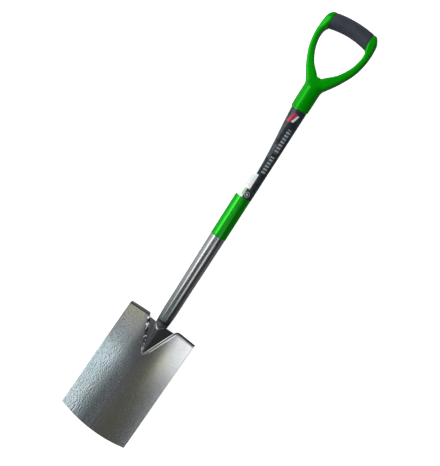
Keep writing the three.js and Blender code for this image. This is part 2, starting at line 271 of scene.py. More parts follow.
def turned(profile, sides=96):
    """A ring-shaped body: a closed profile of (radius, z) turned about the shaft's axis."""
    points, faces = [], []
    count = len(profile)
    for i in range(sides):
        angle = 2 * math.pi * i / sides
        for radius, z in profile:
            points.append((radius * math.sin(angle), -radius * math.cos(angle), z))
    for i in range(sides):
        j = (i + 1) % sides
        for k in range(count):
            n = (k + 1) % count
            faces.append((i * count + k, j * count + k, j * count + n, i * count + n))
    return points, faces


def level_ring(z, outline, sides=96):
    """Points at height z round an outline that gives x and y for an angle."""
    ring = []
    for i in range(sides):
        x, y = outline(2 * math.pi * i / sides)
        ring.append((x, y, z))
    return ring


# ---- materials ----------------------------------------------------------------------------


class Nodes:
    """Short calls that add nodes to a tree. A value is a number, a colour or another node's socket."""

    def __init__(self, tree):
        self.tree = tree

    def new(self, kind):
        return self.tree.nodes.new(f"ShaderNode{kind}")

    def link(self, value, socket):
        if isinstance(value, bpy.types.NodeSocket):
            self.tree.links.new(value, socket)
        else:
            socket.default_value = value

    def math(self, operation, a, b=0.0):
        node = self.new("Math")
        node.operation = operation
        for value, socket in zip((a, b), node.inputs):
            self.link(value, socket)
        return node.outputs[0]

    def times(self, first, *others):
        for other in others:
            first = self.math("MULTIPLY", first, other)
        return first

    def plus(self, a, b):
        return self.math("ADD", a, b)

    def minus(self, a, b):
        return self.math("SUBTRACT", a, b)

    def larger(self, a, b):
        return self.math("MAXIMUM", a, b)

    def under(self, a, b):
        return self.math("LESS_THAN", a, b)

    def over(self, a, b):
        return self.math("GREATER_THAN", a, b)

    def split(self, vector):
        node = self.new("SeparateXYZ")
        self.link(vector, node.inputs[0])
        return node.outputs

    def ranged(self, value, low, high, to_low, to_high):
        """Carries low to high over to to_low to to_high, and stays at those ends outside."""
        node = self.new("MapRange")
        self.link(value, node.inputs["Value"])
        numbers = {"From Min": low, "From Max": high, "To Min": to_low, "To Max": to_high}
        for key, number in numbers.items():
            self.link(number, node.inputs[key])
        return node.outputs[0]

    def grow(self, value, zero_at, one_at):
        """0 where value is at one number, 1 where it is at the other, and even in between."""
        return self.ranged(value, zero_at, one_at, 0, 1)

    def between(self, value, low, high, soft=0.0003):
        """1 where value lies between two numbers, with a soft edge."""
        above = self.grow(self.minus(value, low), -soft, soft)
        below = self.grow(self.minus(high, value), -soft, soft)
        return self.times(above, below)

    def patch(self, u, u_ends, v, v_ends, soft=0.0003):
        """1 inside a rectangle of two coordinates, with a soft edge."""
        return self.times(self.between(u, *u_ends, soft), self.between(v, *v_ends, soft))

    def stripes(self, value, rate, level):
        """1 in even stripes across value, wider for a lower level."""
        return self.over(self.math("SINE", self.times(value, rate)), level)

    def ramp(self, value, *stops):
        """A colour from stops of (value, colour)."""
        node = self.new("ValToRGB")
        self.link(value, node.inputs[0])
        elements = node.color_ramp.elements
        while len(elements) < len(stops):
            elements.new(0.5)
        for element, (place, colour) in zip(elements, stops):
            element.position = place
            element.color = (*colour, 1)
        return node.outputs[0]

    def blend(self, share, a, b):
        node = self.new("Mix")
        node.data_type = "RGBA"
        self.link(share, node.inputs["Factor"])
        for value, key in ((a, "A"), (b, "B")):
            socket = [s for s in node.inputs if s.name == key and s.type == "RGBA"][0]
            self.link(value if isinstance(value, bpy.types.NodeSocket) else (*value, 1), socket)
        return [s for s in node.outputs if s.type == "RGBA"][0]


class Looks(Nodes):
    """A new material, with textures that lie on the upright drawing, measured in metres."""

    def __init__(self, name):
        self.material = bpy.data.materials.new(name)
        self.material.use_nodes = True
        super().__init__(self.material.node_tree)
        self.tree.nodes.clear()
        self.shader = self.new("BsdfPrincipled")
        self.link(self.shader.outputs[0], self.new("OutputMaterial").inputs[0])
        self.lying = self.new("TexCoord").outputs["Object"]
        upright = self.new("Mapping")
        upright.vector_type = "TEXTURE"
        upright.inputs["Location"].default_value = LIE_SHIFT
        upright.inputs["Rotation"].default_value = (LIE_ANGLE, 0, 0)
        self.link(self.lying, upright.inputs["Vector"])
        self.place = upright.outputs[0]

    def set(self, **values):
        for key, value in values.items():
            self.link(value, self.shader.inputs[key.replace("_", " ")])

    def axes(self):
        """x, y and z of the upright drawing."""
        return self.split(self.place)

    def stretched(self, x, y, z):
        node = self.new("Mapping")
        self.link(self.place, node.inputs["Vector"])
        node.inputs["Scale"].default_value = (x, y, z)
        return node.outputs[0]

    def noise(self, scale, detail=2.0, roughness=0.5, where=None):
        node = self.new("TexNoise")
        self.link(where or self.place, node.inputs["Vector"])
        node.inputs["Scale"].default_value = scale
        node.inputs["Detail"].default_value = detail
        node.inputs["Roughness"].default_value = roughness
        return node.outputs[0]

    def cells(self, scale):
        node = self.new("TexVoronoi")
        node.feature = "SMOOTH_F1"
        self.link(self.place, node.inputs["Vector"])
        node.inputs["Scale"].default_value = scale
        node.inputs["Smoothness"].default_value = 0.6
        return node.outputs["Distance"]

    def bump(self, height, strength, distance, below=None):
        """The normal of a relief of a height in millimetres, on top of another normal if given."""
        node = self.new("Bump")
        node.inputs["Strength"].default_value = strength
        node.inputs["Distance"].default_value = distance * MM
        self.link(height, node.inputs["Height"])
        if below is not None:
            self.link(below, node.inputs["Normal"])
        return node.outputs[0]


def hammered_relief(m, x, z):
    """Hammer marks: strong along the left edge, weaker at the top right and faint elsewhere."""
    left_edge = m.ranged(x, -0.06, -0.03, 1, 0.12)
    top_right = m.times(m.ranged(x, 0.02, 0.06, 0, 0.5), m.grow(z, -0.09, -0.04))
    return m.times(m.cells(300), m.larger(left_edge, top_right))


def sheet_colour(m, x, z):
    """Cool on the left, warm on the right and in the top left corner, with pale clouds.

    The lower left is darkened by painted shade.
    """
    cool, warm, pale = (0.46, 0.57, 0.61), (0.57, 0.58, 0.46), (0.66, 0.66, 0.64)
    rolled = m.noise(22, detail=4, roughness=0.6, where=m.stretched(3, 1, 0.5))
    colour = m.ramp(rolled, (0.3, (0.53, 0.55, 0.56)), (0.7, (0.58, 0.6, 0.61)))
    on_left = m.times(m.grow(x, 0.0, -0.035), m.grow(z, -0.03, -0.09))
    colour = m.blend(m.times(on_left, 0.9), colour, cool)
    corner = m.times(m.grow(x, -0.02, -0.05), m.grow(z, -0.045, -0.01))
    on_right = m.times(m.grow(x, -0.005, 0.03), m.grow(x, 0.075, 0.04), m.grow(z, -0.02, -0.06))
    colour = m.blend(m.times(m.larger(corner, on_right), 0.9), colour, warm)
    clouds = m.noise(14, detail=3)
    colour = m.blend(m.ranged(clouds, 0.4, 0.7, 0, 0.2), colour, pale)
    # Painted shade: the lower left is blended towards black.
    painted_shade_lower_left = m.times(m.between(x, -0.056, -0.015, 0.008), m.ranged(z, -0.12, -0.22, 0, 0.3))
    return m.blend(painted_shade_lower_left, colour, (0.0, 0.0, 0.0))


def right_crease(m, inside, where, colour):
    """Painted shade along a groove, and next to the frog a painted highlight line."""
    crease_shade_grey, crease_highlight_grey = (0.05, 0.055, 0.055), (0.85, 0.87, 0.87)
    # Painted shade in the groove beside the frog.
    groove = m.times(m.between(inside, -0.0042, -0.0018, 0.0005), where)
    colour = m.blend(m.times(groove, 0.75), colour, crease_shade_grey)
    # A painted highlight line next to the frog.
    painted_crease_highlight = m.times(m.between(inside, -0.0018, 0.0, 0.0004), where)
    return m.blend(painted_crease_highlight, colour, crease_highlight_grey)


def fold_shadow(m, z, inside):
    """The dark line of the fold and the dark tread behind it, where there is no frog."""
    fold = m.larger(m.between(z, -0.0006, 0.0007, 0.0003), m.grow(z, 0.0026, 0.0036))
    off_frog = m.grow(inside, -0.001, -0.0035)
    return m.times(fold, off_frog, 0.85)


def frog_glints(m, x, z):
    """Two bright spots at the frog's left corner and a thin streak along its upper edge."""
    corner_spot = m.patch(x, (-0.0365, -0.0325), z, (-0.008, -0.003), 0.001)
    lower_spot = m.patch(x, (-0.031, -0.027), z, (-0.021, -0.017), 0.001)
    slant = m.plus(-0.0115, m.times(m.math("ABSOLUTE", x), 0.3))
    near_slant = m.between(m.minus(z, slant), -0.0006, 0.0008, 0.0005)
    streak = m.times(near_slant, m.between(x, -0.029, -0.001, 0.002))
    strength = m.ranged(x, -0.03, -0.004, 0.1, 0.35)
    return m.larger(m.larger(corner_spot, lower_spot), m.times(streak, strength))


def blade_steel():
    """Hammered steel with painted shade on the frog, at the creases beside it and on dark folds, and
    painted highlights at the creases and as a few glints.
    """
    m = Looks("hammered_blade_steel")
    frog_shade_grey, fold_grey, glint = (0.16, 0.17, 0.18), (0.04, 0.04, 0.038), (0.95, 0.95, 0.95)
    # Painted shade and painted highlight colours for the dents along the left crease.
    dent_shade_grey, dent_highlight_white = (0.1, 0.11, 0.115), (0.95, 0.97, 0.98)
    frog_tip, frog_top, frog_half_width = -0.078, -0.002, 0.0325
    x, _, z = m.axes()
    reach = m.ranged(z, frog_tip, frog_top, 0, frog_half_width)
    inside = m.minus(reach, m.math("ABSOLUTE", x))
    on_frog = m.grow(inside, -0.001, 0.001)
    on_right = m.over(x, 0)
    upper = m.grow(z, -0.075, -0.05)
    painted_dent_light = m.times(m.between(inside, -0.0035, 0.0015, 0.0008), m.under(x, 0), upper)
    spots = m.grow(m.noise(130, detail=1), 0.42, 0.56)
    glints = frog_glints(m, x, z)

    # Painted shade: the frog is darker than the sheet around it.
    colour = m.blend(m.times(on_frog, 0.8), sheet_colour(m, x, z), frog_shade_grey)
    colour = right_crease(m, inside, m.times(on_right, upper), colour)
    # Painted shade and painted highlights on the dents along the left crease, as dark and bright
    # spots.
    colour = m.blend(painted_dent_light, colour, m.blend(spots, dent_shade_grey, dent_highlight_white))
    colour = m.blend(fold_shadow(m, z, inside), colour, fold_grey)
    colour = m.blend(glints, colour, glint)
    # Less metal where the glints, the frog's right flank and the bright dent spots are painted, so the
    # painted colour shows.
    less_metal_for_painted_light = m.larger(glints, m.times(on_frog, on_right, 0.12))
    less_metal_for_painted_light = m.larger(less_metal_for_painted_light, m.times(painted_dent_light, spots, 0.4))
    hammered = m.bump(hammered_relief(m, x, z), 0.5, 0.32)
    dapple = m.noise(700, detail=2)
    m.set(
        Base_Color=colour,
        Metallic=m.minus(1.0, less_metal_for_painted_light),
        Roughness=m.ranged(dapple, 0.3, 0.7, 0.15, 0.2),
        Normal=m.bump(dapple, 0.4, 0.012, hammered),
    )
    return m.material


def tube_steel():
    """Drawn steel with fine lines along it, with painted shade that darkens it towards the blade, and
    duller there.
    """
    m = Looks("drawn_tube_steel")
    z = m.axes()[2]
    drawn = m.noise(60, detail=4, where=m.stretched(14, 14, 0.35))
    grain = m.noise(900, detail=2)
    colour = m.ramp(drawn, (0.3, (0.65, 0.68, 0.69)), (0.7, (0.75, 0.77, 0.77)))
    # Painted shade: darker towards the blade, and darkest at the pressed foot.
    colour = m.blend(m.ranged(z, 0.0, 0.13, 0.7, 0), colour, (0.22, 0.28, 0.29))
    colour = m.blend(m.ranged(z, 0.006, 0.022, 0.8, 0), colour, (0.17, 0.19, 0.195))
    m.set(
        Base_Color=colour,
        Metallic=1.0,
        Roughness=m.plus(m.ranged(drawn, 0.3, 0.7, 0.17, 0.26), m.ranged(z, 0.006, 0.016, 0.3, 0)),
        Normal=m.bump(grain, 0.1, 0.05),
    )
    return m.material


def weld_metal():
    """Rippled metal with a painted highlight just left of the frog's crest and painted shade
    elsewhere.
    """
    m = Looks("weld_metal")
    x = m.axes()[0]
    ripple = m.noise(420, detail=3)
    bright = m.ramp(ripple, (0.3, (0.6, 0.6, 0.58)), (0.55, (0.98, 0.98, 0.97)))
    # Painted highlight left of the crest; painted shade elsewhere on the bead.
    painted_light_near_crest = m.times(m.ranged(x, -0.013, -0.005, 0.15, 1), m.ranged(x, -0.001, 0.002, 1, 0.1))
    m.set(
        Base_Color=m.blend(painted_light_near_crest, (0.06, 0.066, 0.055), bright),
        Metallic=0.1,
        Roughness=m.ranged(ripple, 0.3, 0.7, 0.22, 0.45),
        Normal=m.bump(ripple, 0.6, 0.5),
    )
    return m.material


def green_plastic(name, body, roughness, grain, gloss):
    """Glossy green that reflects green too; grain sets how fine its skin is."""
    m = Looks(name)
    mottle = m.noise(40, detail=3)
    skin = m.noise(grain, detail=2)
    m.set(
        Base_Color=m.ramp(mottle, (0.3, body), (0.7, [1.15 * level for level in body])),
        Roughness=m.ranged(skin, 0.3, 0.7, roughness, roughness + 0.08),
        IOR=gloss,
        Specular_IOR_Level=0.9,
        Specular_Tint=(0.07, 1.0, 0.08, 1),
        Normal=m.bump(skin, 0.1, 0.1),
    )
    return m.material


def grip_rubber():
    m = Looks("soft_grip_rubber")
    skin = m.noise(1500, detail=2)
    wear = m.noise(55, detail=4)
    m.set(
        Base_Color=m.ramp(wear, (0.3, (0.03, 0.033, 0.05)), (0.7, (0.042, 0.046, 0.07))),
        Roughness=m.ranged(wear, 0.3, 0.7, 0.5, 0.66),
        Sheen_Weight=0.12,
        Sheen_Roughness=0.5,
        Normal=m.bump(skin, 0.3, 0.15),
    )
    return m.material


def pale_panel(m, across, z):
    """The label's pale stock: a side panel that narrows upwards, and a block near its foot."""
    panel_edge, narrowing, far_edge, block_edge = 0.0006, -0.0172, -0.032, 0.0062
    run = m.grow(z, 0.39, LABEL_TOP * MM)
    edge = m.plus(m.times(m.math("POWER", run, 1.5), narrowing), panel_edge)
    block = m.times(m.under(across, block_edge), m.between(z, 0.356, 0.392))
    pale = m.larger(m.under(across, edge), block)
    return m.times(pale, m.over(across, far_edge))


def pictogram(m, across, z):
    """A plain ring with a dot in it."""
    u = m.minus(across, 0.0076)
    v = m.minus(z, 0.3433)
    reach = m.math("SQRT", m.plus(m.times(u, u), m.times(v, v)))
    return m.larger(m.between(reach, 0.0051, 0.0063), m.under(reach, 0.0027))


def label_marks(m, across, z):
    """Plain shapes in place of the print, each as a share and an ink. They form no letters."""
    block_lines = m.patch(across, (-0.010, 0.0045), z, (0.362, 0.388))
    block_lines = m.times(block_lines, m.stripes(z, 3400, 0.2))
    corner = m.patch(across, (-0.0045, 0.0012), z, (0.339, 0.3555))
    gap = m.minus(1.0, m.between(z, 0.439, 0.447))
    wide = m.times(m.patch(across, (0.0067, 0.0165), z, (0.399, 0.504)), gap, m.stripes(z, 850, -0.3))
    thin = m.larger(m.between(across, 0.0002, 0.0022), m.between(across, 0.0034, 0.0052))
    thin = m.times(thin, m.between(z, 0.433, 0.466), m.stripes(z, 1900, 0.0))
    slant = m.minus(across, m.times(m.minus(z, 0.529), 0.35))
    red_bar = m.patch(slant, (-0.0045, 0.004), z, (0.5175, 0.5395))
    white_bar = m.patch(slant, (0.0055, 0.0105), z, (0.5205, 0.5375))
    return [
        (m.times(block_lines, 0.55), (0.3, 0.33, 0.36)),
        (corner, (0.3, 0.62, 0.28)),
        (m.times(wide, 0.8), (0.5, 0.54, 0.56)),
        (m.times(thin, 0.55), (0.45, 0.48, 0.5)),
        (red_bar, (0.52, 0.012, 0.05)),
        (white_bar, (0.8, 0.8, 0.8)),
        (m.times(pictogram(m, across, z), 0.8), (0.6, 0.61, 0.62)),
    ]


def label_film():
    """Dark film with a pale side panel, made to glow a little as painted light, and plain marks."""
    m = Looks("label_film")
    x, y, z = m.axes()
    angle = m.math("ARCTAN2", x, m.times(y, -1.0))
    across = m.times(angle, LABEL_OUT * MM)
    scuff = m.noise(90, detail=4)
    film = m.ramp(scuff, (0.3, (0.017, 0.026, 0.032)), (0.75, (0.045, 0.06, 0.07)))
    paper = m.ramp(scuff, (0.3, (0.9, 0.91, 0.9)), (0.75, (0.96, 0.97, 0.96)))
    pale = pale_panel(m, across, z)
    colour = m.blend(pale, film, paper)
    for share, ink in label_marks(m, across, z):
        colour = m.blend(share, colour, ink)
    m.set(
        Base_Color=colour,
        Roughness=m.ranged(scuff, 0.3, 0.7, 0.22, 0.34),
        Coat_Weight=0.3,
        Coat_Roughness=0.1,
        # The pale panel glows a little: painted light that brightens it.
        Emission_Color=(1, 1, 1, 1),
        Emission_Strength=m.times(pale, 0.1),
        Normal=m.bump(scuff, 0.06, 0.1),
    )
    return m.material


def rivet_steel():
    m = Looks("rivet_steel")
    scratch = m.noise(700, detail=3)
    m.set(
        Base_Color=m.ramp(scratch, (0.3, (0.5, 0.5, 0.5)), (0.7, (0.68, 0.68, 0.67))),
        Metallic=1.0,
        Roughness=m.ranged(scratch, 0.3, 0.7, 0.25, 0.4),
        Normal=m.bump(scratch, 0.15, 0.1),
    )
    return m.material


STEEL = blade_steel()
TUBE_STEEL = tube_steel()
WELD = weld_metal()
GREEN = green_plastic(
    "green_moulded_plastic", (0.0005, 0.31, 0.0008), roughness=0.13, grain=700, gloss=1.85,
)
GREEN_SLEEVE = green_plastic(
    "green_sleeve_plastic", (0.0005, 0.33, 0.001), roughness=0.2, grain=420, gloss=3.4,
)
LABEL = label_film()
RUBBER = grip_rubber()
RIVET = rivet_steel()

# ---- blade --------------------------------------------------------------------------------


def blade_point(x, drop, rise):
    """x across, drop down the sheet from the fold line, rise towards the working face."""
    y = SET_BACK - drop * math.sin(LIFT) - rise * math.cos(LIFT)
    z = -drop * math.cos(LIFT) + rise * math.sin(LIFT)
    return Vector((x, y, z))


def arc_rise(x, half_width, sagitta):
    """How far a round arc, sagitta deep over its whole width, rises at x."""
    radius = (half_width**2 + sagitta**2) / (2 * sagitta)
    return radius - math.sqrt(radius**2 - x * x)


def dish_rise(x):
    return arc_rise(x, BLADE_WIDTH / 2, DISH)


def frog_share(drop):
    """1 at the frog's upper edge, 0 at its tip."""
    return min(max(1 - (drop - FROG_DROP) / FROG_LENGTH, 0), 1)


def frog_crease(gap, drop, on_left):
    """The sheet beside the frog: a lumpy ridge on the left, a ridge and a groove on the right."""
    if on_left:
        lumps = 0.75 + 0.6 * math.sin(drop * 0.27 + 1) + 0.4 * math.sin(drop * 0.71)
        return (0.75 * bell(gap, 1.8, 1.7) - 0.3 * bell(gap, 0, 1.2)) * lumps
    return 0.5 * bell(gap, 1.4, 1.1) - 0.35 * bell(gap, 3.6, 1.3)


def frog_wrinkle(across, drop):
    """Fine waves down the frog's left flank."""
    wave = math.sin(across * 15 + 1.5 * math.sin(drop * 0.09))
    return 0.4 * wave * smooth_step(across, 0.25, 0.55) * smooth_step(drop, 1, 8)


def frog_rise(x, drop):
    """The V of the frog above the plain dish, with the creases beside it."""
    share = frog_share(drop)
    if share <= 0:
        return 0
    on_left = x < 0
    foot = FROG_HALF_WIDTH * share
    across = abs(x) / foot
    rise = frog_crease(abs(x) - foot, drop, on_left)
    rise *= smooth_step(share, 0, 0.12) * smooth_step(drop, 1, 6)
    if across >= 1:
        return rise
    full = math.hypot(1, FROG_NOSE)
    rise += FROG_HEIGHT * share * (full - math.hypot(across, FROG_NOSE)) / (full - FROG_NOSE)
    if on_left:
        rise += frog_wrinkle(across, drop) * smooth_step(share, 0.1, 0.5)
    return rise


def frog_notch(x, nominal):
    """How far the notch round the tube moves the frog's upper edge, and the rows below it, down."""
    share = frog_share(nominal)
    if share <= 0:
        return 0
    across = math.hypot(x / (NOTCH_HALF_WIDTH * share), NOTCH_NOSE)
    return NOTCH_DEPTH * share * max(1 - across, 0)


FROG_COLUMNS, SIDE_COLUMNS = 30, 20
COLUMNS = 2 * (FROG_COLUMNS + SIDE_COLUMNS)
FROG_ROWS, LOWER_ROWS = 34, 40
BEND_ROWS, FLAT_ROWS = 10, 5
THINNED_ROWS = 4
NARROWEST_INNER = 5
SIDE_SPREAD = 1.6


def column_x(column, inner):
    """Even columns on the frog, and columns beside it that open out towards the edge."""
    offset = column - COLUMNS / 2
    sign = (offset > 0) - (offset < 0)
    steps = abs(offset)
    if steps <= FROG_COLUMNS:
        return sign * inner * steps / FROG_COLUMNS
    return sign * mix(inner, BLADE_WIDTH / 2, ((steps - FROG_COLUMNS) / SIDE_COLUMNS) ** SIDE_SPREAD)


def blade_rows():
    """Rows of points on the working face, from the frog's upper edge to the cutting edge."""
    frog_end = FROG_DROP + FROG_LENGTH
    drops = [mix(FROG_DROP, frog_end, i / FROG_ROWS) for i in range(FROG_ROWS + 1)]
    drops += [mix(frog_end, BLADE_LENGTH, i / LOWER_ROWS) for i in range(1, LOWER_ROWS + 1)]
    rows = []
    for nominal in drops:
        inner = max(FROG_HALF_WIDTH * frog_share(nominal), NARROWEST_INNER)
        share = (nominal - FROG_DROP) / (BLADE_LENGTH - FROG_DROP)
        row = []
        for c in range(COLUMNS + 1):
            x = column_x(c, inner)
            end = BLADE_LENGTH - arc_rise(x, BLADE_WIDTH / 2, EDGE_BOW)
            drop = mix(FROG_DROP, end, share)
            notch = frog_notch(x, nominal)
            row.append(blade_point(x, drop + notch, dish_rise(x) + frog_rise(x, nominal + notch)))
        rows.append(row)
    return rows


def tread_rows():
    """Rows of points on the treads, from their rims round the bend to the blade."""
    turn = math.pi / 2 - LIFT
    flat_length = TREAD_DEPTH - TREAD_BEND
    steps = [(turn * i / BEND_ROWS, 0.5 * i / BEND_ROWS, 0) for i in range(BEND_ROWS + 1)]
    for i in range(1, FLAT_ROWS + 1):
        steps.append((turn, mix(0.5, 1, i / FLAT_ROWS), flat_length * i / FLAT_ROWS))
    rows = []
    for angle, share, flat in steps:
        inner = mix(TREAD_INNER_FOLD, TREAD_INNER_RIM, share)
        back = TREAD_BEND * (1 - math.cos(angle))
        up = TREAD_BEND * math.sin(angle)
        row = []
        for c in range(COLUMNS + 1):
            x = column_x(c, inner)
            rise = dish_rise(x)
            point = blade_point(x, rise * math.tan(LIFT) - up, rise - back)
            point.y += flat
            row.append(point)
        rows.insert(0, row)
    return rows


def front_normals(rows, cells):
    """The summed normal of the cells round each used grid point, by row and column."""
    normals = {}
    for r, c in cells:
        down = rows[r + 1][c + 1] - rows[r][c]
        over = rows[r][c + 1] - rows[r + 1][c]
        normal = down.cross(over).normalized()
        for key in ((r, c), (r, c + 1), (r + 1, c), (r + 1, c + 1)):
            normals[key] = normals.get(key, Vector()) + normal
    return normals


def sheet_faces(keys, cells):
    """Front, back and, on every open side of a cell, a wall between the two."""
    count = len(keys)
    used = set(cells)
    faces = []
    for r, c in cells:
        a, b = keys[(r, c)], keys[(r + 1, c)]
        d, e = keys[(r + 1, c + 1)], keys[(r, c + 1)]
        faces.append((a, b, d, e))
        faces.append((e + count, d + count, b + count, a + count))
        sides = [(b, a, (r, c - 1)), (e, d, (r, c + 1)), (a, e, (r - 1, c)), (d, b, (r + 1, c))]
        for near, far, neighbour in sides:
            if neighbour not in used:
                faces.append((near, far, far + count, near + count))
    return faces


def make_blade():
    treads = tread_rows()
    rows = treads + blade_rows()
    middle = COLUMNS // 2

    def on_sheet(r, c):
        """The treads leave the frog's columns open."""
        return r >= len(treads) or c < middle - FROG_COLUMNS or c >= middle + FROG_COLUMNS

    cells = [(r, c) for r in range(len(rows) - 1) for c in range(COLUMNS) if on_sheet(r, c)]
    normals = front_normals(rows, cells)
    keys = {key: i for i, key in enumerate(sorted(normals))}
    front = [rows[r][c] for r, c in keys]
    back = []
    for r, c in keys:
        to_edge = min((len(rows) - 1 - r) / THINNED_ROWS, 1)
        thickness = mix(EDGE_SHEET, SHEET, to_edge)
        back.append(rows[r][c] - normals[(r, c)].normalized() * thickness)
    faces = sheet_faces(keys, cells)
    piece = new_piece("blade_sheet", front + back, faces, STEEL, "blade")
    add_bevel(piece, width=0.4, angle=55)


def hollow_y(x, z):
    """y a little behind the back of the sheet, at x and height z, found in a few rounds."""
    gap, frog_gap, frog_margin = 2.1, 2.7, 2
    drop = -z / math.cos(LIFT)
    for _ in range(4):
        drop = (-z + (dish_rise(x) + frog_rise(x, drop)) * math.sin(LIFT)) / math.cos(LIFT)
    in_frog = abs(x) < FROG_HALF_WIDTH * frog_share(drop) + frog_margin
    rise = dish_rise(x) + frog_rise(x, max(drop, FROG_DROP)) - (frog_gap if in_frog else gap)
    return blade_point(x, drop, rise).y


# ---- shaft --------------------------------------------------------------------------------


def tube_radius(z):
    return mix(TUBE_RADIUS_LOW, TUBE_RADIUS, smooth_step(z, TAPER_BOTTOM, TAPER_TOP))


def tube_half_width(z):
    """Half the tube's radius at its foot, opening out to all of it where the tube is round."""
    narrowest, fullness = 0.5, 1.15
    open_share = min(max((z - TUBE_FOOT) / (TUBE_ROUND_ABOVE - TUBE_FOOT), 0), 1)
    return tube_radius(z) * mix(narrowest, 1, math.sin(open_share * math.pi / 2) ** fullness)


def tube_outline(z, inset):
    """The tube's section: round above, narrowed and pressed into the frog's hollow at the foot.

    The inset moves the outline inwards by the wall's thickness.
    """
    flattest, clearance, towards_back = 0.55, 0.5, 2
    radius = tube_radius(z)
    back = radius * mix(flattest, 1, smooth_step(z, TUBE_FOOT, TUBE_BACK_ROUND_ABOVE))
    centre = (back - radius) / 2
    half_depth = (back + radius) / 2
    half_width = tube_half_width(z)
    inset_centre = centre + towards_back

    def outline(angle):
        x = half_width * math.sin(angle)
        y = centre - half_depth * math.cos(angle)
        if z < PRESSED_BELOW:
            pressed = max(y, hollow_y(x, z) + clearance)
            y = mix(y, pressed, smooth_step(z, PRESSED_BELOW, FULLY_PRESSED_BELOW))
        share = 1 - inset / math.hypot(x, y - inset_centre)
        return x * share, inset_centre + (y - inset_centre) * share

    return outline


def make_tube():
    foot_steps, taper_steps = 44, 20
    heights = [mix(TUBE_FOOT, TAPER_BOTTOM, i / foot_steps) for i in range(foot_steps + 1)]
    for i in range(1, taper_steps + 1):
        heights.append(mix(TAPER_BOTTOM, TAPER_TOP + 5, i / taper_steps))
    heights += [400, TUBE_TOP]
    outer = [level_ring(z, tube_outline(z, 0)) for z in heights]
    inner = [level_ring(z, tube_outline(z, TUBE_WALL)) for z in heights]
    inner[0] = [(x, y, TUBE_FOOT + TUBE_WALL) for x, y, _ in inner[0]]
    points, faces = loft(outer + inner[::-1])
    piece = new_piece("steel_tube", points, faces, TUBE_STEEL, "shaft_tube")
    sharpen(piece, 50)


def make_sleeve():
    low, high = SLEEVE_BOTTOM, SLEEVE_TOP
    rounding, unevenness, steps = 0.25, 0.03, 29
    profile = [(SLEEVE_IN, high), (SLEEVE_IN, low + 0.2), (SLEEVE_IN + 0.1, low)]
    profile += [(SLEEVE_OUT - 0.12, low), (SLEEVE_OUT, low + rounding)]
    for i in range(1, steps + 1):
        z = mix(low, LABEL_BOTTOM + 8, i / steps)
        wave = 1 + noise.noise(Vector((0, 0, z * 0.06)))
        profile.append((SLEEVE_OUT - unevenness * wave, z))
    profile += [(SLEEVE_OUT, high)]
    points, faces = turned(profile)
    piece = new_piece("plastic_sleeve", points, faces, GREEN_SLEEVE, "shaft_sleeve")
    sharpen(piece, 50)


def make_label():
    low, high = LABEL_BOTTOM, LABEL_TOP
    chamfer, rounding = 0.08, 0.2
    profile = [
        (LABEL_IN, high), (LABEL_IN, low), (LABEL_OUT - chamfer, low), (LABEL_OUT, low + rounding),
        (LABEL_OUT, (low + high) / 2), (LABEL_OUT, high - rounding), (LABEL_OUT - chamfer, high),
    ]
    points, faces = turned(profile)
    piece = new_piece("label_film_wrap", points, faces, LABEL, "label_wrap")
    sharpen(piece, 50)


def along(path, share):
    """A point on the smooth curve through a list of points."""
    place = share * (len(path) - 1)
    i = min(int(place), len(path) - 2)
    t = place - i
    p0, p1, p2, p3 = (path[min(max(k, 0), len(path) - 1)] for k in (i - 1, i, i + 1, i + 2))
    return 0.5 * (
        2 * p1 + (p2 - p0) * t + (2 * p0 - 5 * p1 + 4 * p2 - p3) * t * t
        + (3 * p1 - p0 - 3 * p2 + p3) * t * t * t
    )


def bead(path, radius, seed):
    """A slightly lumpy weld bead along a path, thinner at its ends."""
    steps, sides = 48, 14
    rings = []
    for s in range(steps + 1):
        share = s / steps
        centre = along(path, share)
        forward = (along(path, min(share + 0.01, 1)) - along(path, max(share - 0.01, 0))).normalized()
        side = Vector((0, 1, 0)).cross(forward).normalized()
        up = forward.cross(side)
        lump = 0.96 + 0.06 * math.sin(s * 1.7 + seed)
        size = radius * (0.5 + 0.45 * math.sin(math.pi * share)) * lump
        ring = []
        for i in range(sides):
            angle = 2 * math.pi * i / sides
            ring.append(centre + side * size * math.cos(angle) + up * size * math.sin(angle))
        rings.append(ring)
    return loft(rings)


def make_frog_weld():
    """A bead that follows the notched edge of the frog, just above it."""
    reach, spacing, sunk, forward = 12, 4, 1.1, 0.4
    path = []
    for x in range(-reach, reach + 1, spacing):
        drop = FROG_DROP + frog_notch(x, FROG_DROP)
        edge = blade_point(x, drop, dish_rise(x) + frog_rise(x, drop) - sunk)
        path.append(Vector((x, edge.y - forward, edge.z + 1.5 * WELD_RADIUS + WELD_GAP)))
    points, faces = bead(path, WELD_RADIUS, 0)
    new_piece("frog_weld_bead", points, faces, WELD, "weld_frog_top")


def make_back_weld(side, name):
    """A bead down one side of the tube's foot, on the back of the sheet."""
    top, bottom, spacing, beside_tube, stand_off = -6, -48, 7, 0.5, 1.25
    path = []
    for z in range(top, bottom - 1, -spacing):
        x = side * (tube_half_width(z) + WELD_RADIUS + beside_tube)
        path.append(Vector((x, hollow_y(x, z) + (WELD_RADIUS + WELD_GAP) * stand_off, z)))
    points, faces = bead(path, WELD_RADIUS, side)
    new_piece(f"back_weld_bead_{name}", points, faces, WELD, f"weld_back_{name}")


# ---- handle -------------------------------------------------------------------------------


def grip_point(x, height, depth):
    """x across, height along the leaning plane of the D, depth towards the back."""
    run = height - PIVOT
    y = run * math.sin(LEAN) + depth * math.cos(LEAN)
    z = PIVOT + run * math.cos(LEAN) - depth * math.sin(LEAN)
    return Vector((x, y, z))


def bar_rise(x):
    return BAR_HEIGHT - BAR_BOW * (x / BAR_END) ** 2


def arm_ring(side, inner, outer, half_depth, power):
    """A boxy oval across an arm of the D, between its inner and its outer line."""
    sides = 40
    ring = []
    for i in range(sides):
        angle = 2 * math.pi * i / sides
        across = 0.5 + 0.5 * squared(math.cos(angle), power)
        depth = half_depth * squared(math.sin(angle), power)
        x, height = mix(inner.x, outer.x, across), mix(inner.y, outer.y, across)
        ring.append(grip_point(side * x, height, depth))
    return ring


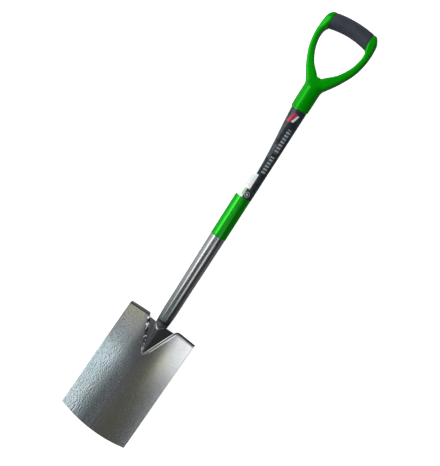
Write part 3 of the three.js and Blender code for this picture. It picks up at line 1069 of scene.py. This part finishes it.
def arm_shape(side):
    """One side of the D, from the neck round the top corner to the end of the bar."""
    top = bar_rise(BAR_END)
    end = COVER_HALF_HEIGHT + COVER_FLARE
    outer_line = [
        (12, 592), (24.5, 612), (43, 639.5), (57.2, 670), (63.2, 698),
        (64.2, 722), (61.4, 748), (54.5, 758.9), (BAR_END, top + end),
    ]
    inner_line = [
        (-6, 610), (6, 627.4), (27.5, 649.6), (42.6, 675.5), (49.1, 698.5),
        (49.7, 712), (48.4, 718.3), (46.4, 721), (BAR_END, top - end),
    ]
    half_depths = [13, 12.4, 11.4, 11, 11.5, 13, 15.2, 16.2, COVER_HALF_DEPTH]
    outer_line = [Vector((*p, 0)) for p in outer_line]
    inner_line = [Vector((*p, 0)) for p in inner_line]
    steps, boxy, oval, thinning = 56, 0.42, 0.9, 0.06
    rings = []
    for s in range(steps + 1):
        share = s / steps
        place = share * (len(half_depths) - 1)
        before = min(int(place), len(half_depths) - 2)
        half_depth = mix(half_depths[before], half_depths[before + 1], place - before)
        power = mix(boxy, oval, smooth_step(share, 0.75, 1))
        slim = thinning * smooth_step(share, 0.15, 0.3) * smooth_step(share, 0.95, 0.8)
        a, b = along(inner_line, share), along(outer_line, share)
        ring = arm_ring(side, a.lerp(b, slim), b.lerp(a, slim), half_depth, power)
        rings.append(ring if side > 0 else ring[::-1])
    return loft(rings)


def bar_shape(half_height, half_depth, end, flare=0.0, groove=0.0, sides=72):
    """An oval bar that follows the grip's bow, optionally grooved along its underside."""
    steps, grooves, plain_end = 36, 24, 7
    end_rounding, rounded_length = 0.05 if groove else 0, 1.2
    rings = []
    for s in range(steps + 1):
        x = mix(-end, end, s / steps)
        tall = half_height + flare * (x / BAR_END) ** 2
        round_off = 1 - end_rounding * smooth_step(abs(x), end - rounded_length, end)
        grooved_here = smooth_step(abs(x), end, end - plain_end)
        ring = []
        for i in range(sides):
            angle = 2 * math.pi * i / sides
            under = smooth_step(-math.sin(angle), 0.25, 0.6) * grooved_here
            cut = 1 - groove * under * (0.5 + 0.5 * math.cos(angle * grooves))
            height = tall * math.sin(angle) * round_off * cut
            depth = half_depth * math.cos(angle) * round_off * cut
            ring.append(grip_point(x, bar_rise(x) + height, depth))
        rings.append(ring)
    return loft(rings)


SOCKET_SIDES = 72


def round_ring(z, radius):
    return level_ring(z, lambda a: (radius * math.sin(a), -radius * math.cos(a)), SOCKET_SIDES)


def neck_ring(height, half_width, half_depth, power):
    """A boxy oval in the leaning plane of the D."""
    ring = []
    for i in range(SOCKET_SIDES):
        angle = 2 * math.pi * i / SOCKET_SIDES
        x = half_width * squared(math.sin(angle), power)
        depth = half_depth * squared(-math.cos(angle), power)
        ring.append(grip_point(x, height, depth))
    return ring


def socket_shape():
    """The round socket with its lip, and above it the neck that flattens towards the crotch."""
    round_part = [
        (0, SOCKET_LIP - 0.4), (0.7, SOCKET_LIP), (2, SOCKET_LIP + 0.45),
        (5, SOCKET_RADIUS - 0.2), (12, SOCKET_RADIUS), (30, SOCKET_RADIUS), (44, SOCKET_RADIUS),
    ]
    neck = [
        (600, 20, 20.2, 1), (605, 21, 17.6, 0.8), (611, 22, 14.4, 0.6),
        (617, 17.5, 12.8, 0.5), (621, 12, 12, 0.6), (626, 5, 10.5, 0.7),
    ]
    rings = [round_ring(SOCKET_BOTTOM + rise, radius) for rise, radius in round_part]
    rings += [neck_ring(*numbers) for numbers in neck]
    return loft(rings)


def apply_modifiers(piece):
    graph = bpy.context.evaluated_depsgraph_get()
    mesh = bpy.data.meshes.new_from_object(piece.evaluated_get(graph))
    piece.modifiers.clear()
    old = piece.data
    piece.data = mesh
    bpy.data.meshes.remove(old)


def melt_together(piece):
    """Joins the overlapping shapes of a piece and rounds the creases between them."""
    remesh = piece.modifiers.new("remesh", "REMESH")
    remesh.mode = "VOXEL"
    remesh.voxel_size = 0.9 * MM
    soften = piece.modifiers.new("soften", "SMOOTH")
    soften.factor = 0.5
    soften.iterations = 12
    bpy.context.view_layer.update()
    apply_modifiers(piece)


def cut_bore(piece):
    """Cuts the socket's bore, with a plug that is removed again."""
    below_socket = 5
    ends = (SOCKET_BOTTOM - below_socket, BORE_TOP)
    points, faces = loft([round_ring(z, SOCKET_BORE) for z in ends])
    plug_mesh = bpy.data.meshes.new("bore")
    plug_mesh.from_pydata([LAID @ (Vector(p) * MM) for p in points], [], faces)
    plug = bpy.data.objects.new("bore", plug_mesh)
    bpy.context.scene.collection.objects.link(plug)
    cut = piece.modifiers.new("cut", "BOOLEAN")
    cut.operation = "DIFFERENCE"
    cut.solver = "FAST"
    cut.object = plug
    bpy.context.view_layer.update()
    apply_modifiers(piece)
    bpy.data.objects.remove(plug)


def make_handle():
    into_arm = 2
    core = bar_shape(CORE_HALF_HEIGHT, CORE_HALF_DEPTH, BAR_END + into_arm)
    points, faces = joined([socket_shape(), arm_shape(1), arm_shape(-1), core])
    piece = new_piece("d_handle", points, faces, GREEN, "handle_frame")
    melt_together(piece)
    cut_bore(piece)
    finish_surface(piece, GREEN)
    sharpen(piece, 45)


def make_grip_cover():
    points, faces = bar_shape(
        COVER_HALF_HEIGHT, COVER_HALF_DEPTH, BAR_END - COVER_END_GAP,
        flare=COVER_FLARE, groove=0.02, sides=144,
    )
    piece = new_piece("soft_grip", points, faces, RUBBER, "grip_cover")
    sharpen(piece, 40)


def make_rivet():
    """A domed head on the socket's back, a shank through the wall and a flared tail in the tube."""
    seat = SOCKET_RADIUS + 0.15
    tail = TUBE_RADIUS - TUBE_WALL - 0.3
    rim, dome, dome_steps, sides = 0.3, 1.9, 9, 40
    profile = [(0.01, tail - 3), (2.5, tail - 2.6), (3.6, tail - 1.2), (2.9, tail)]
    profile += [(RIVET_SHANK, tail), (RIVET_SHANK, seat)]
    profile += [(RIVET_HEAD - 0.3, seat), (RIVET_HEAD, seat + rim)]
    for i in range(1, dome_steps):
        t = i / dome_steps * math.pi / 2
        profile.append((RIVET_HEAD * math.cos(t), seat + rim + dome * math.sin(t)))
    profile.append((0.01, seat + rim + dome))
    rings = []
    for radius, y in profile:
        ring = []
        for i in range(sides):
            angle = 2 * math.pi * i / sides
            ring.append((radius * math.cos(angle), y, RIVET_Z + radius * math.sin(angle)))
        rings.append(ring[::-1])
    points, faces = loft(rings)
    piece = new_piece("back_rivet", points, faces, RIVET, "handle_rivet")
    sharpen(piece, 35)


make_blade()
make_tube()
make_frog_weld()
make_back_weld(-1, "left")
make_back_weld(1, "right")
make_sleeve()
make_label()
make_handle()
make_grip_cover()
make_rivet()

# ---- stage and light ----------------------------------------------------------------------


def make_floor():
    """A white floor for the camera. Other rays meet a grey one, lighter on the left."""
    half_size, below_part, glow = 8, 0.0005, 0.86
    level = cad_box[0].z - below_part
    mesh = bpy.data.meshes.new("floor")
    corners = [(-1, -1), (1, -1), (1, 1), (-1, 1)]
    mesh.from_pydata([(half_size * x, half_size * y, level) for x, y in corners], [], [(0, 1, 2, 3)])
    floor = bpy.data.objects.new("floor", mesh)
    bpy.context.scene.collection.objects.link(floor)
    m = Looks("pale_floor")
    across = m.split(m.lying)[0]
    shade = m.ranged(across, -0.1, 0.1, 0.45, 0.1)
    reflected = m.ramp(shade, (0, (0, 0, 0)), (1, (1, 1, 1)))
    paper = m.ramp(m.noise(30, detail=2), (0.3, (0.8, 0.8, 0.8)), (0.7, (0.83, 0.83, 0.83)))
    seen = m.new("LightPath").outputs["Is Camera Ray"]
    m.set(
        Base_Color=m.blend(seen, reflected, paper),
        Roughness=0.9,
        Emission_Color=(1, 1, 1, 1),
        Emission_Strength=m.times(seen, glow),
    )
    mesh.materials.append(m.material)


def area_light(name, place, aim, width, length, radiance):
    """A soft box at a place, turned to an aim, whose long side runs along the spade."""
    data = bpy.data.lights.new(name, "AREA")
    data.shape = "RECTANGLE"
    data.size = width
    data.size_y = length
    data.energy = radiance * math.pi * width * length
    light = bpy.data.objects.new(name, data)
    back = (Vector(place) - Vector(aim)).normalized()
    side = Vector((0, 1, 0)).cross(back).normalized()
    turn = Matrix((side, back.cross(side), back)).transposed().to_4x4()
    light.matrix_world = Matrix.Translation(place) @ turn
    light.visible_camera = False
    bpy.context.scene.collection.objects.link(light)


def overhead_light(name, across, along_spade, height, radiance):
    """A level panel that shines straight down between two x and two y values."""
    x, y = sum(across) / 2, sum(along_spade) / 2
    width, length = across[1] - across[0], along_spade[1] - along_spade[0]
    area_light(name, (x, y, height), (x, y, 0), width, length, radiance)


def make_world():
    """White for the camera. Otherwise dim, brighter on the left and brighter for diffuse light."""
    world = bpy.data.worlds.new("studio")
    world.use_nodes = True
    n = Nodes(world.node_tree)
    across = n.split(n.new("TexCoord").outputs["Generated"])[0]
    spread = n.grow(across, -1, 1)
    rays = n.new("LightPath").outputs

    def levels(*stops):
        """A slightly cool grey from stops of (spread, level)."""
        return n.ramp(spread, *((at, (0.98 * level, level, 1.03 * level)) for at, level in stops))

    gloss = levels((0.03, 0.35), (0.22, 0.1), (0.4, 0.07), (0.85, 0.04))
    soft = levels((0.0, 1.5), (0.35, 0.85), (0.5, 0.78), (0.68, 0.4), (1.0, 0.08))
    unseen = n.blend(rays["Is Diffuse Ray"], gloss, soft)
    seen = n.blend(rays["Is Camera Ray"], unseen, (1, 1, 1))
    n.link(seen, n.tree.nodes["Background"].inputs[0])
    bpy.context.scene.world = world


def make_lights():
    """Soft boxes whose places give the bright bands that the photo shows on steel and plastic."""
    high, low = 1.6, 0.45
    overhead_light("grip_panel", (-1.0, -0.58), (-0.33, 1.3), high, radiance=1.5)
    overhead_light("shaft_panel", (-1.9, -1.0), (-0.79, 1.3), high, radiance=1.7)
    overhead_light("blade_top_panel", (-0.08, 0.35), (-0.31, 0.0), high, radiance=0.6)
    overhead_light("blade_edge_card", (-0.027, 0.012), (-0.62, -0.332), low, radiance=1.9)
    area_light("left_panel", (-1.9, 0.35, 0.95), (0, 0.35, 0), 0.9, 1.9, radiance=0.4)
    area_light("tube_strip", (1.007, -0.58, 1.611), (0, -0.58, 0), 0.78, 0.44, radiance=0.95)


make_floor()
make_world()
make_lights()
bpy.context.scene.view_settings.view_transform = "Standard"
bpy.context.scene.view_settings.look = "None"
